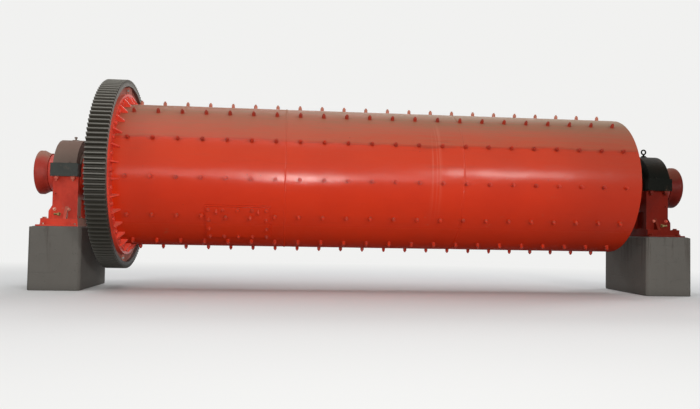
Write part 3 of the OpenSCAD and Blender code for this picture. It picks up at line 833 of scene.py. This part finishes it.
def seam_beads():
    """Ring welds between the courses, and a weld along each course, staggered round the drum."""
    steps = 1500
    turns = [2 * math.pi * k / steps for k in range(steps)]
    for number, x in enumerate(SEAMS, 1):
        path = [on_shell(x, SHELL_R - 0.0018, t) for t in turns]
        normals = [Vector((0, -math.sin(t), math.cos(t))) for t in turns]
        weld_bead(f"ring_weld_{number}", path, normals, True, 0.0065)
    courses = [(FLANGE_FACE, SEAMS[0], 20), (SEAMS[0], SEAMS[1], 200), (SEAMS[1], SHELL_END, 335)]
    for number, (start, end, degrees) in enumerate(courses, 1):
        turn = math.radians(degrees)
        count = round((end - start) / 0.004)
        path = [on_shell(start + (end - start) * k / count, SHELL_R - 0.001, turn) for k in range(count + 1)]
        normals = [Vector((0, -math.sin(turn), math.cos(turn)))] * (count + 1)
        weld_bead(f"long_weld_{number}", path, normals, False, 0.006)


def turn_of(row):
    """The turn of a row of liner bolts from the top towards the front."""
    return FIRST_ROW_TURN + 2 * math.pi * row / BOLT_ROWS


def on_cover(x, turn):
    """True where a liner bolt stands on the manhole cover."""
    apart = (turn - MANHOLE_TURN + math.pi) % (2 * math.pi) - math.pi
    return abs(x - MANHOLE_X) < COVER_LENGTH / 2 and abs(apart) < COVER_HALF_ANGLE


def liner_bolts():
    """The liner bolts of the shell, each spun and leant a little by chance."""
    shuffle = random.Random(11)
    places = []
    for row in range(BOLT_ROWS):
        turn = turn_of(row)
        for k in range(BOLTS_IN_ROW):
            x = FIRST_BOLT_X + BOLT_PITCH * k
            radius = COVER_TOP_R if on_cover(x, turn) else SHELL_R
            spin = Matrix.Rotation(shuffle.uniform(0, math.pi / 3), 4, "Z")
            lean = Matrix.Rotation(math.radians(shuffle.uniform(-1.5, 1.5)), 4, "X")
            places.append(outward(x, radius, turn) @ lean @ spin)
    join_copies("liner_bolts", liner_bolt(), places, BOLT_PAINT, "drum")


def manhole_bolts():
    """Bolts round the manhole cover's border, and its two lifting lugs."""
    along = 5
    around = 4
    inset = 0.030
    half_x = COVER_LENGTH / 2 - inset
    half_turn = COVER_HALF_ANGLE - inset / COVER_TOP_R
    spots = [(-half_x + 2 * half_x * i / (along - 1), s * half_turn) for i in range(along) for s in (-1, 1)]
    spots += [(s * half_x, -half_turn + 2 * half_turn * j / (around - 1)) for j in range(1, around - 1)
              for s in (-1, 1)]
    places = [outward(MANHOLE_X + x, COVER_TOP_R, MANHOLE_TURN + t) for x, t in spots]
    join_copies("manhole_bolts", capscrew(0.030, 0.016, 0.010), places, BOLT_PAINT, "drum")
    lug_turn = MANHOLE_TURN - math.radians(11.5)
    lug_x = 0.213
    places = [outward(MANHOLE_X + x, COVER_TOP_R, lug_turn) for x in (-lug_x, lug_x)]
    lug = lifting_lug(0.028, 0.042, 0.014, 0.011)
    join_copies("cover_lugs", lug, places, BOLT_PAINT, "drum")


def ring_of(count, radius, x, direction, start=0.0, splay=0.0):
    """Frames on a bolt circle about the drum axis, facing along X or leaning outwards by splay."""
    turns = [start + 2 * math.pi * k / count for k in range(count)]
    return [facing(on_shell(x, radius, t), (direction, -splay * math.sin(t), splay * math.cos(t)))
            for t in turns]


def gear_joint_bolts():
    """Bolts through the lugs that hold the gear halves together, above and below the drum."""
    gear_low, gear_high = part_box("girth_gear_front_half")
    lug_face = 0.060
    bolt_r = 0.927
    for name, across, x in (("outer", 0.046, gear_low.x + 0.058), ("inner", 0.019, gear_high.x - 0.034)):
        head = capscrew(across, across * 0.65)
        nut = capscrew(across, across * 0.8, 0.014)
        for part, template, side in (("heads", head, -1), ("nuts", nut, 1)):
            places = [facing((x, side * lug_face, AXIS_Z + s * bolt_r), (0, side, 0)) for s in (-1, 1)]
            join_copies(f"gear_joint_{name}_{part}", template, places, BOLT_STEEL, "drum")


def head_fasteners(end, side):
    """Trunnion flange bolts, two circles of liner bolts and the weld where the head meets the shell."""
    low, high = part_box(end + "_trunnion")
    inner = low.x if side > 0 else high.x
    flange_face = inner + side * 0.105
    places = ring_of(16, 0.298, flange_face, side, math.radians(11.25))
    bolt = capscrew(0.041, 0.019, 0.008)
    join_copies(end + "_trunnion_bolts", bolt, places, BOLT_STEEL, "drum")
    # The head is a cone between these two circles
    hub_r, rim_r = 0.350, 0.750
    dish = 0.070
    slope = dish / (rim_r - hub_r)
    hub_face = inner + side * 0.055
    places = []
    for radius in (0.470, 0.630):
        x = hub_face - side * (radius - hub_r) * slope
        places += ring_of(12, radius, x, side, 0.0, slope)
    join_copies(end + "_head_bolts", liner_bolt(), places, BOLT_PAINT, "drum")
    steps = 1300
    rim_x = hub_face - side * dish
    path = [on_shell(rim_x + side * 0.002, rim_r - 0.003, 2 * math.pi * k / steps) for k in range(steps)]
    weld_bead(end + "_head_weld", path, [Vector((side, 0, 0))] * steps, True, 0.007)


def drum_fasteners():
    """The bolts of the drive flange and their nuts on the gear's web, midway between the gussets."""
    first_gusset = 1.5
    between = math.radians(first_gusset + 180 / GUSSETS)
    bolt_r = FLANGE_R - 0.053
    places = ring_of(GUSSETS, bolt_r, FLANGE_FACE, 1, between)
    join_copies("flange_bolts", capscrew(0.036, 0.014), places, FLANGE_PAINTED_LIGHT, "drum")
    web_face = flange_low.x - 0.060
    places = ring_of(GUSSETS, bolt_r, web_face, -1, between)
    join_copies("flange_nuts", capscrew(0.041, 0.022, 0.012), places, BOLT_STEEL, "drum")
    gear_joint_bolts()
    head_fasteners("drive_end", -1)
    head_fasteners("free_end", 1)


def build_drum():
    """Everything that turns."""
    for node in ("drive_end_shell_course", "middle_shell_course", "free_end_shell_course"):
        shell_plate(node)
    seam_beads()
    liner_bolts()
    manhole_bolts()
    drum_fasteners()
    refined("manhole_pad", 0.004, DRUM_PAINT)
    refined("manhole_cover", 0.004, DRUM_PAINT)
    refined("drive_flange", 0.003, FLANGE_PAINTED_LIGHT)
    refined("girth_gear_front_half", 0.0015, GEAR_STEEL, 1)
    refined("girth_gear_back_half", 0.0015, GEAR_STEEL, 1)
    for end in ("drive_end", "free_end"):
        refined(end + "_head", 0.006, HEAD_PAINT)
        refined(end + "_trunnion", 0.004, JOURNAL_STEEL)
    refined("drive_end_mouth_ring", 0.004, RING_PAINT)
    refined("free_end_mouth_ring", 0.004, SHADED_RING)
    liner_slots = frame["nodes"]["shell_liner"].data.materials
    liner_slots.clear()
    liner_slots.append(LINER_STEEL)


# The bearings

def grout_bed(end, low, high):
    """The trowelled skirt of grout round a sole plate, a little uneven."""
    across = (high.x - low.x) / 2
    deep = (high.y - low.y) / 2
    centre = Vector(((low.x + high.x) / 2, (low.y + high.y) / 2, low.z))
    step = 0.012
    outline = []
    for corner, along, length in (((-1, -1), (1, 0), 2 * across), ((1, -1), (0, 1), 2 * deep),
                                  ((1, 1), (-1, 0), 2 * across), ((-1, 1), (0, -1), 2 * deep)):
        count = round(length / step)
        start = Vector((corner[0] * across, corner[1] * deep, 0))
        out = Vector((along[1], -along[0], 0))
        for k in range(count):
            outline.append((start + Vector((along[0], along[1], 0)) * (length * k / count), out))
    profile = ((-0.004, 0.0), (0.026, 0.0), (0.019, 0.004), (0.007, 0.007), (-0.004, 0.008))
    verts = []
    faces = []
    total = len(outline)
    for i, (place, out) in enumerate(outline):
        before = outline[i - 1][1]
        lean = out if before == out else (out + before)
        for reach, z in profile:
            uneven = 1 + 0.35 * noise.noise((centre + place) * 9) if reach > 0 and z else 1
            verts.append(centre + place + lean * reach * uneven + Vector((0, 0, z * uneven)))
    rings = len(profile)
    for i in range(total):
        ahead = (i + 1) % total
        for k in range(rings):
            following = (k + 1) % rings
            faces.append([i * rings + k, ahead * rings + k, ahead * rings + following, i * rings + following])
    name = end + "_grout"
    add_piece(name, mesh_of(name, verts, faces, 50), CONCRETE_SKIN, "stand")


def build_bearing(end, side, frame_paint, cap_paint, nut_paint, plug_paint):
    """A bearing on its pier, with its fasteners. side is 1 at the free end, -1 at the drive end."""
    cap_low, cap_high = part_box(end + "_bearing_cap")
    foot_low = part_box(end + "_pedestal")[0]
    sole_low, sole_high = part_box(end + "_sole_plate")
    middle = (cap_low.x + cap_high.x) / 2
    fitting = "eye_bolt" if side > 0 else "breather"
    # Each part, the width of its rounded edges, its look and the segments of the rounding
    parts = (("pedestal", 0.008, frame_paint, 3), ("bearing_cap", 0.010, cap_paint, 3),
             ("sole_plate", 0.003, frame_paint, 2), ("inner_seal", 0.003, frame_paint, 2),
             ("outer_seal", 0.003, frame_paint, 2), (fitting, 0.002, cap_paint, 2),
             ("pier", 0.012, CONCRETE_SKIN, 3), ("bush", 0.002, BRONZE, 2))
    for name, width, material, segments in parts:
        refined(f"{end}_{name}", width, material, segments)

    def fasten(name, template, spots, material=frame_paint):
        """Copies of a fastener, as one piece of this end's stand."""
        join_copies(f"{end}_{name}", template, spots, material, "stand")

    def level_spots(xs, ys, z, direction):
        """Frames on one level, at each x outwards from the bearing's middle and each y."""
        return [facing((middle + side * x, y, z), direction) for x in xs for y in ys]

    up = (0, 0, 1)
    down = (0, 0, -1)
    spots = level_spots((-0.085, 0.085), (-0.335, 0.335), cap_low.z, down)
    fasten("cap_nuts", capscrew(0.041, 0.026, 0.020), spots, nut_paint)

    # Low heads on the foot's outer ledge, smaller ones in the pockets on the drum's side
    foot_top = foot_low.z + 0.065
    spots = level_spots((0.192,), (-0.130, -0.332, 0.130, 0.332), foot_top, up)
    fasten("foot_bolts", capscrew(0.041, 0.012), spots)
    spots = level_spots((-0.111,), (-0.130, 0.130), foot_top + 0.010, up)
    fasten("pocket_bolts", capscrew(0.030, 0.014), spots)
    spots = level_spots((-0.130, 0.190), (-0.415, 0.415), sole_high.z, up)
    fasten("anchor_bolts", capscrew(0.036, 0.014), spots)

    for face, name in ((1, "outer_seal"), (-1, "inner_seal")):
        low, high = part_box(f"{end}_{name}")
        x = high.x if face * side > 0 else low.x
        spots = ring_of(8, 0.223, x, face * side, math.radians(22.5))
        fasten(name + "_screws", capscrew(0.019, 0.008), spots)

    # On the pedestal's body: plugs on both sides, a gauge screw and the oil drain on the front
    body_front = -0.300
    spots = [facing((middle + side * x, sy * body_front, AXIS_Z - 0.408), (0, -sy, 0))
             for x in (0.105, -0.043) for sy in (1, -1)]
    fasten("pipe_plugs", capscrew(0.025, 0.016, 0.008), spots, plug_paint)
    spots = level_spots((0.104,), (body_front,), AXIS_Z - 0.240, (0, -1, 0))
    fasten("oil_gauge_screw", capscrew(0.019, 0.010, 0.006), spots)
    drain = Vector((middle + side * 0.056, body_front, AXIS_Z - 0.461))
    plug = merged(washer(0.019, -0.002, 0.006), hexagon(0.026, 0.003, 0.034))
    fasten("drain_plug", plug, [facing(drain, (0, -1, 0))], BRASS)
    outlet = lathe([(0.009, 0.0), (0.009, 0.034), (0.012, 0.035), (0.012, 0.044)], 16)
    spots = [facing(drain + Vector((0, -0.022, 0)), (side, 0, 0))]
    fasten("drain_outlet", outlet, spots, BRASS)

    nipple = merged(hexagon(0.014, -0.001, 0.010), stud(0.0045, 0.008, 0.024))
    fasten("grease_nipple", nipple, level_spots((-0.051,), (-0.361,), BLOCK_TOP, up), cap_paint)
    grout_bed(end, sole_low, sole_high)


# The studio

def seen_directly(graph_nodes, links):
    """One for camera, mirror and glass rays, so that all of them see the pale background."""
    rays = graph_nodes.new("ShaderNodeLightPath")
    total = rays.outputs["Is Camera Ray"]
    for name in ("Is Glossy Ray", "Is Transmission Ray"):
        larger = graph_nodes.new("ShaderNodeMath")
        larger.operation = "MAXIMUM"
        links.new(total, larger.inputs[0])
        links.new(rays.outputs[name], larger.inputs[1])
        total = larger.outputs[0]
    return total


def floor_material():
    """Pale where it is seen, duller for the light that it throws back; it fades into the backdrop."""
    g = Graph("studio_floor")
    seen = seen_directly(g.tree.nodes, g.tree.links)
    away = g.node("ShaderNodeVectorMath", operation="LENGTH")
    g.feed(away.inputs[0], g.scaled(0.6, 1.0, 1.0))
    far = g.ramp(away.outputs["Value"], 1.2, 6.5)
    pale = g.mix(g.noise(0.4, 2, 0.5), (0.80, 0.80, 0.79, 1), (0.84, 0.84, 0.83, 1))
    colour = g.mix(seen, (0.30, 0.29, 0.28, 1), pale)
    colour = g.mix(far, colour, (0, 0, 0, 1))
    g.feed(g.shader.inputs["Emission Color"], BACKDROP)
    g.feed(g.shader.inputs["Emission Strength"], g.times(far, seen))
    g.shader.inputs["Specular IOR Level"].default_value = 0.0
    return g.finish(colour, 0.9)


def build_stage():
    """A pale floor and backdrop, and a dim light from all round."""
    reach = 90
    level = -0.001
    corners = [(-reach, -reach), (reach, -reach), (reach, reach), (-reach, reach)]
    mesh = bpy.data.meshes.new("studio_floor")
    mesh.from_pydata([(x, y, level) for x, y in corners], [], [[0, 1, 2, 3]])
    floor = bpy.data.objects.new("studio_floor", mesh)
    bpy.context.scene.collection.objects.link(floor)
    mesh.materials.append(floor_material())

    world = bpy.data.worlds.new("studio_air")
    bpy.context.scene.world = world
    world.use_nodes = True
    nodes = world.node_tree.nodes
    links = world.node_tree.links
    light = nodes["Background"]
    light.inputs["Color"].default_value = (0.84, 0.87, 0.90, 1)
    light.inputs["Strength"].default_value = 0.22
    backdrop = nodes.new("ShaderNodeBackground")
    backdrop.inputs["Color"].default_value = BACKDROP
    backdrop.inputs["Strength"].default_value = 1.0
    chosen = nodes.new("ShaderNodeMixShader")
    links.new(seen_directly(nodes, links), chosen.inputs["Fac"])
    links.new(light.outputs[0], chosen.inputs[1])
    links.new(backdrop.outputs[0], chosen.inputs[2])
    links.new(chosen.outputs[0], nodes["World Output"].inputs["Surface"])


def area_light(name, place, target, size, power, colour):
    """A rectangular lamp that looks from a place at a target."""
    data = bpy.data.lights.new(name, "AREA")
    data.shape = "RECTANGLE"
    data.size = size[0]
    data.size_y = size[1]
    data.energy = power
    data.color = colour
    lamp = bpy.data.objects.new(name, data)
    lamp.location = place
    lamp.rotation_euler = (Vector(target) - Vector(place)).to_track_quat("-Z", "Y").to_euler()
    bpy.context.scene.collection.objects.link(lamp)


def build_lights():
    """A small lamp beside the camera, whose mirror image is the bright core on the drum, and soft windows."""
    warm = (1.0, 0.98, 0.95)
    area_light("camera_lamp", (-0.76, -7.90, 0.76), (-0.5, 0, 1.2), (0.36, 0.20), 175, warm)
    area_light("front_panel", (-1.2, -11.6, 1.25), (-1.2, 0, 1.25), (8.2, 0.9), 262, warm)
    area_light("front_window", (4.8, -11.4, 3.4), (1.6, 0, 1.25), (1.8, 0.9), 410, warm)
    area_light("front_top", (-3.2, -3.4, 8.0), (-1.7, -0.3, 1.2), (8.0, 1.6), 120, (0.98, 0.98, 1.0))
    area_light("roof", (-0.9, 1.0, 8.0), (-0.6, 0.2, 1.0), (10.0, 6.0), 150, (0.95, 0.97, 1.0))
    area_light("back_window", (0.5, 6.6, 7.2), (0, 0, 1.1), (9.0, 1.6), 310, (0.95, 0.97, 1.0))
    area_light("end_window", (9.5, 3.6, 6.2), (3.0, 0.2, 1.2), (2.4, 2.0), 190, (0.97, 0.98, 1.0))
    area_light("left_window", (-8.6, -5.0, 3.6), (-3.0, -0.2, 1.2), (2.2, 1.8), 110, (1.0, 0.97, 0.93))


def build_camera():
    """The camera of the photograph, turned by its yaw, pitch and roll."""
    forward = Vector((math.sin(CAMERA_YAW) * math.cos(CAMERA_PITCH),
                      math.cos(CAMERA_YAW) * math.cos(CAMERA_PITCH), math.sin(CAMERA_PITCH)))
    right = Vector((math.cos(CAMERA_YAW), -math.sin(CAMERA_YAW), 0))
    above = right.cross(forward)
    rolled_right = right * math.cos(CAMERA_ROLL) + above * math.sin(CAMERA_ROLL)
    rolled_up = above * math.cos(CAMERA_ROLL) - right * math.sin(CAMERA_ROLL)
    data = bpy.data.cameras.new("view")
    data.sensor_fit = "HORIZONTAL"
    data.sensor_width = SENSOR_WIDTH
    data.lens = CAMERA_LENS
    data.clip_end = 200
    camera = bpy.data.objects.new("view", data)
    turn = Matrix((rolled_right, rolled_up, -forward)).transposed().to_4x4()
    camera.matrix_world = Matrix.Translation(CAMERA_PLACE) @ turn
    bpy.context.scene.collection.objects.link(camera)
    bpy.context.scene.camera = camera


build_camera()
build_drum()
build_bearing("drive_end", -1, BRIGHT_FRAME, CAP_DUST_AND_HIGHLIGHT, NUT_HIGHLIGHT_PAINT, PLUG_HIGHLIGHT_PAINT)
build_bearing("free_end", 1, SHADED_FRAME, SHADED_CAP, SHADED_FRAME, NUT_HIGHLIGHT_PAINT)
build_stage()
build_lights()
bpy.context.scene.view_settings.view_transform = "Standard"
